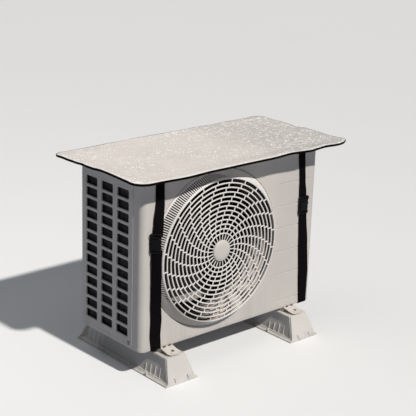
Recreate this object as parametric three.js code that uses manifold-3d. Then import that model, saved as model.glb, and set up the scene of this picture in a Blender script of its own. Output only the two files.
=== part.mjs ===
// Foil sun cover strapped on the outdoor unit of an air conditioner.
// Millimetres, +Z up, origin on the ground under the middle of the unit; the fan guard faces -Y.
import * as THREE from "three";
import { mergeVertices } from "three/addons/utils/BufferGeometryUtils.js";
import Module from "manifold-3d";

const wasm = await Module();
wasm.setup();

// Casing
const casingWidth = 800;
const casingDepth = 330;
const casingBase = 101;
const casingTop = 709;
const cornerRadius = 22;
const rearRadius = 12;
const panelThickness = 2.5;
const panHeight = 12.4;
const lidHeight = 12;
const wrapDepth = 52; // the front panel turns round both front corners by this much
const gap = 0.3; // between two pieces that touch
const frontFace = -casingDepth / 2;
const backFace = casingDepth / 2;
const panelBottom = casingBase + panHeight + gap;
const panelTop = casingTop - lidHeight - gap;

// Window grille of the left side and the back
const grilleThickness = 10;
const windowWidth = 65;
const windowHeight = 33;
const windowPitchAcross = 86;
const windowPitchUp = 40.05;
const windowRows = 13;
const lowestWindow = casingBase + 52; // height of the middle of the lowest row
const sideColumnMiddle = 25; // along Y, the middle one of three columns
const sideColumns = 3;
const backColumns = 8;
const coilThickness = 22;
const coilStandOff = 3;

// Fan guard
const guardX = -84;
const guardZ = 408;
const guardRadius = 279;
const guardOpening = 272;
const guardSeat = 271.2; // the guard's collar, inside the panel's opening
const guardCollar = 5;
const guardRim = 253;
const guardDepth = 33;
const guardWall = 5;
const guardHub = 38;
const guardHubRise = 5;
const guardSegments = 48;
const outerRing = 251.5; // middle of the outermost ring bar
const ringPitch = 15.9;
const cellRows = 13;
const cellsPerRow = 24;
const barWidth = 5.5;
const firstSpoke = 6; // degrees
const swirlPerRow = 2.87; // degrees

// Bell mouth behind the guard: radius and depth behind the front face, from its flange inwards
const bellAirSide = [
  [268, 2.8],
  [250, 11.5],
  [235, 29],
  [227.5, 59],
  [225, 105],
];
const bellBackSide = [
  [229, 105],
  [231.5, 60],
  [239, 32],
  [252.5, 15.5],
  [276, 6.3],
  [276, 2.8],
];
const bellSegments = 40;

// Feet and the leg rails on them
const footSpacing = 582;
const footLength = 509;
const footFlangeWidth = 140;
const footFlangeHeight = 5;
const footBodyWidth = 116;
const footTopWidth = 81;
const footTopLength = 438;
const footHeight = 85.5;
const cheekThickness = 8;
const railWidth = 52;
const railReach = 217; // from the middle of the unit to the tip of the lug
const railTip = 3.5;
const lugLength = 45;
const lugHoleRadius = 5.5;
const lugHoleY = 196;

// Cover sheet and its edge binding
const sheetWidth = 958;
const sheetDepth = 483.5;
const sheetMiddleY = -6.2;
const sheetRadius = 52;
const sheetThickness = 3;
const sheetBottom = casingTop + 2.3;
const sheetStepsX = 30;
const sheetStepsY = 22;
const cornerSteps = 4;
const bindingThickness = 1.2;
const bindingWidth = 11;
const bindingDrop = 1.9;
const bindingReveal = 0.8; // the foil stands above the binding by this much

// Further rise of each overhanging edge: place along the edge, then the rise there
const frontRise = [
  [-480, 4], [-427, 2.5], [-299, 1], [-171, 6], [85, 4.3], [181, 9], [277, 6], [341, 9.8], [432, 1], [480, 1],
];
const backRise = [
  [-480, -6], [-349, -4.5], [-221, -0.5], [-93, 1.5], [35, -0.5], [227, -0.5], [323, 2.8], [419, 3.5], [480, 9],
];
const leftRise = [
  [-250, 6], [-184, 8.7], [-88, 9.7], [0, 11.3], [40, 7.6], [104, 3.6], [136, 1.7], [189, 1.2], [240, -6],
];
const rightRise = [[-250, 3], [-188, 5.6], [-124, 4.9], [4, 8.4], [68, 6], [164, 5.5], [240, 9]];

// Straps and buckles
const webbing = 1.6;
const webbingGap = 0.4;
const tabLength = 40;
const bowDepth = 29.5; // the left strap is held off the panel by the guard's wall
const bowLow = 50;
const bowHigh = 570;
const buckleThickness = 11;
const buckleWidth = 47;
const plugHeight = 17;
const socketHeight = 50;
const tailLength = 46;
const tailWidth = 24;

// Width and middle of each strap on the front, by height above the casing's base.
const leftStrapRows = [
  { height: 0, x: -341.5, width: 43 },
  { height: 100, x: -348.9, width: 42 },
  { height: 172, x: -357.5, width: 42 },
  { height: 244, x: -361.9, width: 40 },
  { height: 314, x: -362.1, width: 41 },
  { height: 385, x: -359.4, width: 42 },
  { height: 453, x: -351, width: 40 },
  { height: 520, x: -336.4, width: 34 },
  { height: 608, x: -330, width: 34 },
];
const rightStrapRows = [
  { height: 0, x: 357.5, width: 43 },
  { height: 120, x: 353, width: 48 },
  { height: 242, x: 343.5, width: 47 },
  { height: 337, x: 334.5, width: 43 },
  { height: 384, x: 334, width: 42 },
  { height: 430, x: 329, width: 40 },
  { height: 475, x: 324.5, width: 28 },
  { height: 583, x: 316, width: 32 },
  { height: 608, x: 316, width: 33 },
];
// Height above the base is that of the joint between plug and socket.
const leftBuckle = { height: 401, x: -367, lift: 3 };
const rightBuckle = { height: 401, x: 333, lift: 0 };

const materials = {
  casing: { color: 0xdad6cc, roughness: 0.45, metalness: 0 },
  coil: { color: 0x26262a, roughness: 0.6, metalness: 0.4 },
  foot: { color: 0xd2cec4, roughness: 0.6, metalness: 0 },
  rail: { color: 0xcfcbc0, roughness: 0.45, metalness: 0.1 },
  foil: { color: 0xd9d4ca, roughness: 0.35, metalness: 0.6 },
  binding: { color: 0x0c0c0d, roughness: 0.8, metalness: 0 },
  webbing: { color: 0x111113, roughness: 0.85, metalness: 0 },
  buckle: { color: 0x0e0e10, roughness: 0.4, metalness: 0 },
};

const unit = new THREE.Group();

function add(name, finish, geometry) {
  const mesh = new THREE.Mesh(geometry, new THREE.MeshStandardMaterial(materials[finish]));
  mesh.name = name;
  unit.add(mesh);
}

// A closed geometry as a solid that can be cut and joined, and back again.
function solidOf(geometry) {
  const bare = geometry.clone();
  bare.deleteAttribute("normal");
  bare.deleteAttribute("uv");
  const merged = mergeVertices(bare, 1e-4);
  return new wasm.Manifold(
    new wasm.Mesh({
      numProp: 3,
      vertProperties: merged.attributes.position.array,
      triVerts: new Uint32Array(merged.index.array),
    }),
  );
}

function geometryOf(solid) {
  const mesh = solid.getMesh();
  const geometry = new THREE.BufferGeometry();
  geometry.setAttribute("position", new THREE.BufferAttribute(new Float32Array(mesh.vertProperties), 3));
  geometry.setIndex(new THREE.BufferAttribute(new Uint32Array(mesh.triVerts), 1));
  geometry.computeVertexNormals();
  return geometry;
}

const joined = (geometries) => geometries.map(solidOf).reduce((all, next) => all.add(next));

// Extrusions of a flat outline: plan outlines rise along Z, front outlines (x, z) run along Y,
// side outlines (y, z) run along X.
function plateFromPlan(outline, low, high, curveSegments = 6) {
  const options = { depth: high - low, bevelEnabled: false, curveSegments };
  return new THREE.ExtrudeGeometry(outline, options).translate(0, 0, low);
}

function plateFromFront(outline, nearY, farY, curveSegments = 6) {
  const turn = new THREE.Matrix4().makeBasis(
    new THREE.Vector3(1, 0, 0),
    new THREE.Vector3(0, 0, 1),
    new THREE.Vector3(0, -1, 0),
  );
  const options = { depth: farY - nearY, bevelEnabled: false, curveSegments };
  return new THREE.ExtrudeGeometry(outline, options).applyMatrix4(turn).translate(0, farY, 0);
}

function plateFromSide(outline, lowX, highX, curveSegments = 6) {
  const turn = new THREE.Matrix4().makeBasis(
    new THREE.Vector3(0, 1, 0),
    new THREE.Vector3(0, 0, 1),
    new THREE.Vector3(1, 0, 0),
  );
  const options = { depth: highX - lowX, bevelEnabled: false, curveSegments };
  return new THREE.ExtrudeGeometry(outline, options).applyMatrix4(turn).translate(lowX, 0, 0);
}

function polygon(points) {
  return new THREE.Shape(points.map(([a, b]) => new THREE.Vector2(a, b)));
}

function rectangle(lowA, highA, lowB, highB) {
  return polygon([[lowA, lowB], [highA, lowB], [highA, highB], [lowA, highB]]);
}

// Plan outline of the casing, with wide front corners and tight rear ones.
function casingOutline() {
  const half = casingWidth / 2;
  const outline = new THREE.Shape();
  outline.absarc(-half + cornerRadius, frontFace + cornerRadius, cornerRadius, Math.PI, 1.5 * Math.PI);
  outline.absarc(half - cornerRadius, frontFace + cornerRadius, cornerRadius, 1.5 * Math.PI, 2 * Math.PI);
  outline.absarc(half - rearRadius, backFace - rearRadius, rearRadius, 0, 0.5 * Math.PI);
  outline.absarc(-half + rearRadius, backFace - rearRadius, rearRadius, 0.5 * Math.PI, Math.PI);
  return outline;
}

// Front panel: a sheet bent round both front corners, with a round opening for the fan guard.
function wrapOutline() {
  const half = casingWidth / 2;
  const inner = cornerRadius - panelThickness;
  const left = -half + cornerRadius;
  const right = half - cornerRadius;
  const cornerY = frontFace + cornerRadius;
  const end = frontFace + wrapDepth;
  const outline = new THREE.Shape();
  outline.moveTo(-half, end);
  outline.absarc(left, cornerY, cornerRadius, Math.PI, 1.5 * Math.PI, false);
  outline.absarc(right, cornerY, cornerRadius, 1.5 * Math.PI, 2 * Math.PI, false);
  outline.lineTo(half, end);
  outline.lineTo(half - panelThickness, end);
  outline.absarc(right, cornerY, inner, 2 * Math.PI, 1.5 * Math.PI, true);
  outline.absarc(left, cornerY, inner, 1.5 * Math.PI, Math.PI, true);
  outline.lineTo(-half + panelThickness, end);
  return outline;
}

function guardDrum() {
  const collarBack = -panelThickness + 0.5;
  const profile = [
    [0, guardDepth - guardWall],
    [guardRim - guardWall, guardDepth - guardWall],
    [guardSeat - guardCollar, collarBack],
    [guardSeat, collarBack],
    [guardSeat, gap],
    [guardRadius, gap],
    [guardRadius, 1.3],
    [guardRim + 1.5, guardDepth - 2],
    [guardRim, guardDepth],
    [guardHub + 1.5, guardDepth],
    [guardHub, guardDepth + guardHubRise],
    [0, guardDepth + guardHubRise + 1.4],
  ];
  const points = profile.map(([radius, forward]) => new THREE.Vector2(radius, forward));
  return new THREE.LatheGeometry(points, guardSegments)
    .rotateZ(Math.PI)
    .translate(guardX, frontFace, guardZ);
}

// One cell of the guard, cut right through the disc between two ring bars and two spokes. Its arcs
// are single straight sides, so they lie a little further out than the ring that they stand for.
function guardCell(row, index) {
  const halfCell = Math.PI / cellsPerRow;
  const flatSide = 1 + halfCell ** 2 / 3;
  const ring = outerRing - row * ringPitch;
  const outer = (ring - barWidth / 2) * flatSide;
  const inner = row < cellRows - 1 ? (ring - ringPitch + barWidth / 2) * flatSide : guardHub + 1.5;
  const turn = THREE.MathUtils.degToRad(firstSpoke + swirlPerRow * row);
  const middle = turn + 2 * halfCell * (index + 0.5);
  const outerHalf = halfCell - barWidth / 2 / outer;
  const innerHalf = halfCell - barWidth / 2 / inner;
  const corner = (radius, angle) => [guardX + radius * Math.cos(angle), guardZ + radius * Math.sin(angle)];
  const outline = polygon([
    corner(outer, middle - outerHalf),
    corner(outer, middle + outerHalf),
    corner(inner, middle + innerHalf),
    corner(inner, middle - innerHalf),
  ]);
  return plateFromFront(outline, frontFace - guardDepth - 12, frontFace - 8);
}

function fanGuard() {
  const cells = [];
  for (let row = 0; row < cellRows; row++)
    for (let index = 0; index < cellsPerRow; index++) cells.push(solidOf(guardCell(row, index)));
  return geometryOf(wasm.Manifold.difference([solidOf(guardDrum()), ...cells]));
}

function bellMouth() {
  const profile = [...bellAirSide, ...bellBackSide, bellAirSide[0]];
  const points = profile.map(([radius, back]) => new THREE.Vector2(radius, -back));
  return new THREE.LatheGeometry(points, bellSegments)
    .rotateZ(Math.PI)
    .translate(guardX, frontFace, guardZ);
}

function frontPanel() {
  const opening = new THREE.Shape();
  opening.absarc(guardX, guardZ, guardOpening, 0, 2 * Math.PI);
  const panel = solidOf(plateFromPlan(wrapOutline(), panelBottom, panelTop));
  return geometryOf(panel.subtract(solidOf(plateFromFront(opening, frontFace - 5, frontFace + 8, guardSegments / 2))));
}

// A moulded panel with columns of windows cut through it; runAlong makes a plate of an outline.
function windowedPanel(low, high, columnMiddles, runAlong) {
  let panel = solidOf(runAlong(rectangle(low, high, panelBottom, panelTop), 0));
  for (const middle of columnMiddles)
    for (let row = 0; row < windowRows; row++) {
      const height = lowestWindow + row * windowPitchUp;
      const opening = rectangle(
        middle - windowWidth / 2,
        middle + windowWidth / 2,
        height - windowHeight / 2,
        height + windowHeight / 2,
      );
      panel = panel.subtract(solidOf(runAlong(opening, 5)));
    }
  return geometryOf(panel);
}

const columnsAbout = (middle, count) =>
  Array.from({ length: count }, (_, i) => middle + (i - (count - 1) / 2) * windowPitchAcross);

function addCasing() {
  const half = casingWidth / 2;
  const panelStart = frontFace + wrapDepth + gap;
  const backStart = backFace - grilleThickness;
  add("base_pan", "casing", plateFromPlan(casingOutline(), casingBase, casingBase + panHeight));
  add("top_panel", "casing", plateFromPlan(casingOutline(), casingTop - lidHeight, casingTop));
  add("front_panel", "casing", frontPanel());
  add("fan_guard", "casing", fanGuard());
  add("bell_mouth", "casing", bellMouth());
  const alongX = (outline, more) => plateFromSide(outline, -half - more, -half + grilleThickness + more);
  const sideMiddles = columnsAbout(sideColumnMiddle, sideColumns);
  add("left_grille", "casing", windowedPanel(panelStart, backFace, sideMiddles, alongX));
  const plain = rectangle(panelStart, backFace, panelBottom, panelTop);
  add("right_panel", "casing", plateFromSide(plain, half - panelThickness, half));
  const backLow = -half + grilleThickness + gap;
  const backHigh = half - panelThickness - gap;
  const alongY = (outline, more) => plateFromFront(outline, backStart - more, backFace + more);
  add("back_grille", "casing", windowedPanel(backLow, backHigh, columnsAbout(0, backColumns), alongY));
  const coilEnd = backStart - coilStandOff;
  const sideCoil = rectangle(panelStart + 12, coilEnd - coilThickness - gap, panelBottom, panelTop);
  const coilX = -half + grilleThickness + coilStandOff;
  add("coil_side", "coil", plateFromSide(sideCoil, coilX, coilX + coilThickness));
  const backCoil = rectangle(coilX, half - panelThickness - 12, panelBottom, panelTop);
  add("coil_back", "coil", plateFromFront(backCoil, coilEnd - coilThickness, coilEnd));
}

// A block whose lower and upper rectangles differ: half sizes along X, and low and high Y.
function loftedBlock(lower, upper) {
  const box = new THREE.BoxGeometry(1, 1, 1);
  const place = box.attributes.position;
  for (let i = 0; i < place.count; i++) {
    const end = place.getZ(i) > 0 ? upper : lower;
    const y = place.getY(i) > 0 ? end.high : end.low;
    place.setXYZ(i, Math.sign(place.getX(i)) * end.half, y, end.z);
  }
  return box;
}

function foot(middleX) {
  const halfLength = footLength / 2;
  const halfTop = footTopLength / 2;
  const flange = loftedBlock(
    { half: footFlangeWidth / 2, low: -halfLength, high: halfLength, z: 0 },
    { half: footFlangeWidth / 2 - 1, low: -halfLength + 1, high: halfLength - 1, z: footFlangeHeight },
  );
  const body = loftedBlock(
    { half: footBodyWidth / 2, low: -halfLength + 6, high: halfLength - 6, z: 1 },
    { half: footTopWidth / 2, low: -halfTop + 1, high: halfTop - 1, z: footHeight },
  );
  const cheeks = [-1, 1].map((end) => {
    const lower = [end * halfLength, end * (halfLength - cheekThickness)].sort((a, b) => a - b);
    const upper = [end * halfTop, end * (halfTop - cheekThickness)].sort((a, b) => a - b);
    return loftedBlock(
      { half: footFlangeWidth / 2, low: lower[0], high: lower[1], z: 0 },
      { half: footTopWidth / 2, low: upper[0], high: upper[1], z: footHeight },
    );
  });
  return geometryOf(joined([flange, body, ...cheeks])).translate(middleX, 0, 0);
}

function legRail(middleX) {
  const low = footHeight + gap;
  const high = casingBase - gap;
  const slope = railReach - lugLength;
  const outline = polygon([
    [-railReach, low],
    [railReach, low],
    [railReach, low + railTip],
    [slope, high],
    [-slope, high],
    [-railReach, low + railTip],
  ]);
  let rail = solidOf(plateFromSide(outline, middleX - railWidth / 2, middleX + railWidth / 2));
  for (const y of [-lugHoleY, lugHoleY]) {
    const hole = new THREE.CylinderGeometry(lugHoleRadius, lugHoleRadius, 60, 12)
      .rotateX(Math.PI / 2)
      .translate(middleX, y, footHeight);
    rail = rail.subtract(solidOf(hole));
  }
  return geometryOf(rail);
}

function addFeet() {
  for (const [side, sign] of [["left", -1], ["right", 1]]) {
    const middleX = (sign * footSpacing) / 2;
    add("foot_" + side, "foot", foot(middleX));
    add("leg_rail_" + side, "rail", legRail(middleX));
  }
}

const smooth = (from, to, value) => THREE.MathUtils.smoothstep(value, from, to);

// How far the cover stands above (or below) its plane: flat on the unit, loose past its edges.
function riseAt(table, along) {
  const next = Math.max(1, table.findIndex(([place]) => place >= along));
  const [[lowPlace, low], [highPlace, high]] = [table[next - 1], table[next]];
  return low + (high - low) * smooth(lowPlace, highPlace, along);
}

// The overhangs don't hang level: each edge rises and falls by its own table, blended at the corners.
function edgeRise(x, y, pastEnd, pastFront, pastBack) {
  const shares = [
    [pastFront, frontRise, x],
    [pastBack, backRise, x],
    [pastEnd, x < 0 ? leftRise : rightRise, y],
  ];
  const total = shares.reduce((sum, [share]) => sum + share, 0);
  const rise = shares.reduce((sum, [share, table, along]) => sum + share * riseAt(table, along), 0);
  return rise / Math.max(1, total);
}

function sheetLift(x, y) {
  const half = casingWidth / 2;
  const edge = sheetWidth / 2;
  const pastEnd = smooth(half + 5, edge, Math.abs(x));
  const pastFront = smooth(-frontFace + 5, sheetDepth / 2 - sheetMiddleY, -y);
  const pastBack = smooth(backFace + 5, sheetDepth / 2 + sheetMiddleY, y);
  const foldY = 12 + (x / edge) * 13; // the packing fold runs the length of the sheet
  const fold = Math.exp(-(((y - foldY) / 34) ** 2));
  const rightCurl = x > 0 ? 8.5 * smooth(half - 60, edge, x) * pastFront : 0;
  const leftLift = x < 0 ? 3 * pastEnd * smooth(60, 180, y) : 0;
  const leftDroop = x < 0 ? -2.5 * pastEnd * smooth(60, 200, -y) : 0;
  const ripple = 1.2 * pastFront * Math.sin(x / 71 + 0.7) + 1.5 * pastBack * Math.sin(x / 93);
  const packing = -5 * fold * pastEnd - 0.3 * fold;
  return packing + rightCurl + leftLift + leftDroop + ripple + edgeRise(x, y, pastEnd, pastFront, pastBack);
}

// The sheet's rows and columns: close together in the rounded corners, wider between them.
function spread(index, half, steps) {
  const straight = steps - 2 * cornerSteps;
  if (index <= cornerSteps) return -half + (sheetRadius * index) / cornerSteps;
  if (index >= steps - cornerSteps) return half - (sheetRadius * (steps - index)) / cornerSteps;
  return -half + sheetRadius + ((index - cornerSteps) / straight) * 2 * (half - sheetRadius);
}

// How far a point of the sharp outline reaches into its corner's rounding, each way.
function cornerReach(x, y) {
  const overX = Math.max(Math.abs(x) - (sheetWidth / 2 - sheetRadius), 0);
  const overY = Math.max(Math.abs(y) - (sheetDepth / 2 - sheetRadius), 0);
  return [Math.sign(x) * overX, Math.sign(y) * overY];
}

// Moves a point of a sharp corner onto the matching round one.
function roundCorner(x, y) {
  const [overX, overY] = cornerReach(x, y);
  if (!overX || !overY) return [x, y];
  const scale = Math.max(Math.abs(overX), Math.abs(overY)) / Math.hypot(overX, overY);
  return [x - overX + overX * scale, y - overY + overY * scale];
}

function coverSheet() {
  const box = new THREE.BoxGeometry(1, 1, 1, sheetStepsX, sheetStepsY, 1);
  const place = box.attributes.position;
  for (let i = 0; i < place.count; i++) {
    const column = Math.round((place.getX(i) + 0.5) * sheetStepsX);
    const row = Math.round((place.getY(i) + 0.5) * sheetStepsY);
    const squareX = spread(column, sheetWidth / 2, sheetStepsX);
    const squareY = spread(row, sheetDepth / 2, sheetStepsY);
    const [x, y] = roundCorner(squareX, squareY);
    const face = place.getZ(i) > 0 ? sheetThickness : 0;
    place.setXYZ(i, x, y + sheetMiddleY, sheetBottom + face + sheetLift(x, y + sheetMiddleY));
  }
  return box;
}

// The sheet's rim points in order, each with its outward direction.
function sheetEdge() {
  const halfX = sheetWidth / 2;
  const halfY = sheetDepth / 2;
  const alongX = Array.from({ length: sheetStepsX }, (_, i) => spread(i, halfX, sheetStepsX));
  const alongY = Array.from({ length: sheetStepsY }, (_, i) => spread(i, halfY, sheetStepsY));
  const walk = [
    ...alongX.map((x) => [x, -halfY]),
    ...alongY.map((y) => [halfX, y]),
    ...alongX.map((x) => [-x, halfY]),
    ...alongY.map((y) => [-halfX, -y]),
  ];
  return walk.map(([squareX, squareY]) => {
    const [x, y] = roundCorner(squareX, squareY);
    const reach = new THREE.Vector2(...cornerReach(squareX, squareY)).normalize();
    return { x, y, out: [reach.x, reach.y] };
  });
}

// Edge binding: an L section under the sheet's rim and up its side, carried round the outline.
function coverBinding() {
  const wallTop = sheetThickness - bindingReveal;
  const profile = [
    [-bindingWidth, -gap - bindingThickness],
    [gap + bindingThickness, -bindingDrop],
    [gap + bindingThickness, wallTop],
    [gap, wallTop],
    [gap, -gap],
    [-bindingWidth, -gap],
  ];
  profile.push(profile[0]);
  const edge = sheetEdge();
  const points = profile.map(([out, up]) => new THREE.Vector2(100 + out, up));
  const ring = new THREE.LatheGeometry(points, edge.length);
  const place = ring.attributes.position;
  for (let i = 0; i < place.count; i++) {
    const station = edge[Math.floor(i / points.length) % edge.length];
    const [out, up] = profile[i % points.length];
    const inward = Math.min(out, 0);
    const liftX = station.x + inward * station.out[0];
    const liftY = station.y + inward * station.out[1] + sheetMiddleY;
    place.setXYZ(
      i,
      station.x + out * station.out[0],
      station.y + out * station.out[1] + sheetMiddleY,
      sheetBottom + up + sheetLift(liftX, liftY),
    );
  }
  return ring;
}

// Reads a column of a strap's table at a height, with straight lines between its rows.
function rowAt(rows, height, column) {
  const next = rows.findIndex((row) => row.height >= height);
  if (next < 0) return rows[rows.length - 1][column];
  if (next === 0) return rows[0][column];
  const [a, b] = [rows[next - 1], rows[next]];
  const part = (height - a.height) / (b.height - a.height);
  return a[column] + part * (b[column] - a[column]);
}

function bowAt(height) {
  if (height <= bowLow || height >= bowHigh) return 0;
  return bowDepth * Math.sin((Math.PI * (height - bowLow)) / (bowHigh - bowLow));
}

// Outline of a thin band of even thickness along a path of (y, z) points.
function bandOutline(path, thickness) {
  const side = (sign) =>
    path.map(([y, z], i) => {
      const before = path[Math.max(i - 1, 0)];
      const after = path[Math.min(i + 1, path.length - 1)];
      const inDir = new THREE.Vector2(y - before[0], z - before[1]).normalize();
      const outDir = new THREE.Vector2(after[0] - y, after[1] - z).normalize();
      const along = inDir.clone().add(outDir).normalize();
      const reach = thickness / 2 / Math.max(along.dot(i ? inDir : outDir), 0.5);
      return [y - sign * along.y * reach, z + sign * along.x * reach];
    });
  return polygon([...side(1), ...side(-1).reverse()]);
}

// A strap along a path: its width and middle come from the table, by height.
function strapAlong(path, rows) {
  const band = plateFromSide(bandOutline(path, webbing), -0.5, 0.5);
  const place = band.attributes.position;
  for (let i = 0; i < place.count; i++) {
    const height = place.getY(i) > 0 ? 0 : place.getZ(i) - casingBase;
    const width = rowAt(rows, height, "width");
    place.setX(i, rowAt(rows, height, "x") + place.getX(i) * width);
  }
  return band;
}

function frontRun(fromHeight, toHeight, bow) {
  const standOff = webbingGap + webbing / 2;
  const steps = Math.max(4, Math.round(Math.abs(toHeight - fromHeight) / 24));
  return Array.from({ length: steps + 1 }, (_, i) => {
    const height = fromHeight + ((toHeight - fromHeight) * i) / steps;
    return [frontFace - standOff - bow(height), casingBase + height];
  });
}

function strapPair(side, rows, buckle, bow) {
  const standOff = webbingGap + webbing / 2;
  const tabZ = casingTop + standOff - 0.05;
  const underZ = casingBase - standOff;
  const bend = 0.75;
  const lowEnd = buckle.height - socketHeight - gap;
  const highEnd = buckle.height + plugHeight + 2 * gap;
  const wallHeight = casingTop - casingBase;
  const upper = [
    ...frontRun(highEnd, wallHeight + 0.4, bow),
    [frontFace - standOff + bend, tabZ],
    [frontFace + tabLength, tabZ],
  ];
  add("strap_" + side + "_upper", "webbing", strapAlong(upper, rows));
  const lower = [
    ...frontRun(lowEnd, 0, bow),
    [frontFace - standOff + bend, underZ],
    [backFace + standOff - bend, underZ],
    [backFace + standOff, casingBase],
    [backFace + standOff, casingTop + 0.4],
    [backFace + standOff - bend, tabZ],
    [backFace - tabLength, tabZ],
  ];
  add("strap_" + side + "_lower", "webbing", strapAlong(lower, rows));
}

// Side-release buckle: a plug above, with the shoulders that are pressed, and a socket below.
function plugOutline(middleX, bottom) {
  const half = buckleWidth / 2;
  return polygon([
    [middleX - half + 5, bottom],
    [middleX + half - 5, bottom],
    [middleX + half, bottom + 7],
    [middleX + half, bottom + plugHeight - 3],
    [middleX + half - 3, bottom + plugHeight],
    [middleX - half + 3, bottom + plugHeight],
    [middleX - half, bottom + plugHeight - 3],
    [middleX - half, bottom + 7],
  ]);
}

function socketOutline(middleX, bottom) {
  const half = buckleWidth / 2;
  const top = bottom + socketHeight;
  return polygon([
    [middleX - half + 4, bottom],
    [middleX + half - 4, bottom],
    [middleX + half, bottom + 4],
    [middleX + half, top - 13],
    [middleX + half - 4, top],
    [middleX - half + 4, top],
    [middleX - half, top - 13],
    [middleX - half, bottom + 4],
  ]);
}

function addBuckle(side, buckle, bow) {
  const joint = casingBase + buckle.height;
  const far = frontFace - webbingGap - bow(buckle.height) - 1 - buckle.lift;
  const near = far - buckleThickness;
  const plug = plugOutline(buckle.x, joint + gap);
  add("buckle_" + side + "_plug", "buckle", plateFromFront(plug, near + 1.5, far));
  const socket = socketOutline(buckle.x, joint - socketHeight);
  add("buckle_" + side + "_socket", "buckle", plateFromFront(socket, near, far));
}

// Loose end of the left strap: it hangs from the socket's inner face, a little to the side.
function strapTail() {
  const top = leftBuckle.height - 4;
  const x = leftBuckle.x - buckleWidth / 2 + 10;
  const back = frontFace - webbingGap - bowAt(leftBuckle.height) - 1 - leftBuckle.lift + gap;
  const path = Array.from({ length: 5 }, (_, i) => {
    const part = i / 4;
    return [back + webbing / 2 + 3 * part * part, casingBase + top - part * tailLength];
  });
  const band = plateFromSide(bandOutline(path, webbing), -tailWidth / 2, tailWidth / 2);
  return band.translate(x, 0, 0);
}

function addStraps() {
  const flat = () => 0;
  strapPair("left", leftStrapRows, leftBuckle, bowAt);
  strapPair("right", rightStrapRows, rightBuckle, flat);
  addBuckle("left", leftBuckle, bowAt);
  addBuckle("right", rightBuckle, flat);
  add("strap_left_tail", "webbing", strapTail());
}

addCasing();
addFeet();
add("cover_sheet", "foil", coverSheet());
add("cover_binding", "binding", coverBinding());
addStraps();

export default unit;
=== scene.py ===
import math

import bmesh
import bpy
from mathutils import Matrix, Vector, noise


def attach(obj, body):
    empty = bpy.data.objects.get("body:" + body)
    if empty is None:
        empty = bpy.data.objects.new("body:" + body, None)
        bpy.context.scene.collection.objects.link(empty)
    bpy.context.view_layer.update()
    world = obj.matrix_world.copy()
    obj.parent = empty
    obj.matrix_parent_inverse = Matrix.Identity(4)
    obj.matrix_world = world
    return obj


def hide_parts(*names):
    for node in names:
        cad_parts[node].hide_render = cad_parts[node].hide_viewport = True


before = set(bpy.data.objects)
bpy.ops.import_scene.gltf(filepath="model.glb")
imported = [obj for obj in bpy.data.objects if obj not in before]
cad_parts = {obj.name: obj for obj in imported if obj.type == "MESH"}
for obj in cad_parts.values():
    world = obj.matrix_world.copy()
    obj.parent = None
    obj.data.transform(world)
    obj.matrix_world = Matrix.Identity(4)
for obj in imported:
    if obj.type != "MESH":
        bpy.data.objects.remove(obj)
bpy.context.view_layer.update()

print("frame loaded:", len(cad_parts), "nodes")

# Casing of the outdoor unit, in metres
casing = {
    "half": 0.400,
    "front": -0.165,
    "back": 0.165,
    "frontRadius": 0.022,
    "rearRadius": 0.012,
    "panLow": 0.101,
    "panTop": 0.1135,
    "wallLow": 0.1137,
    "wallHigh": 0.6967,
    "lidLow": 0.697,
    "lidHigh": 0.709,
    "wrapEnd": -0.1132,
    "sheetMetal": 0.0025,
    "rimRound": 0.003,
    "panGrow": 0.0006,
}


# Camera, light and floor

photoCamera = {"place": (-2.5233, -2.8519, 1.7120), "yaw": -41.784, "pitch": 17.758, "roll": 1.9, "lens": 98.11}


def addCamera():
    yaw, pitch, roll = (math.radians(photoCamera[key]) for key in ("yaw", "pitch", "roll"))
    ahead = Vector((-math.sin(yaw) * math.cos(pitch), math.cos(yaw) * math.cos(pitch), -math.sin(pitch)))
    side = Vector((math.cos(yaw), math.sin(yaw), 0))
    up = side.cross(ahead)
    right = side * math.cos(roll) + up * math.sin(roll)
    top = up * math.cos(roll) - side * math.sin(roll)
    data = bpy.data.cameras.new("photoCamera")
    data.lens = photoCamera["lens"]
    data.sensor_width = 36
    data.clip_end = 60
    camera = bpy.data.objects.new("photoCamera", data)
    turn = Matrix((right, top, -ahead)).transposed().to_4x4()
    camera.matrix_world = Matrix.Translation(photoCamera["place"]) @ turn
    bpy.context.collection.objects.link(camera)
    bpy.context.scene.camera = camera


studio = {
    "sunFrom": (0.03, -0.69, 0.73),
    "sunStrength": 3.05,
    "sunSpread": 2.0,
    "sunColor": (1.0, 0.975, 0.94),
    "sky": 0.076,
    "skyColor": (0.72, 0.84, 1, 1),
    "boxPlace": (-1.3, 0.5, 2.9),
    "boxSize": 3.0,
    "boxPower": 18.0,
    "floorSize": 14.0,
}


def addLight(name, kind, power):
    light = bpy.data.lights.new(name, kind)
    light.energy = power
    lamp = bpy.data.objects.new(name, light)
    bpy.context.collection.objects.link(lamp)
    return light, lamp


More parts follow.
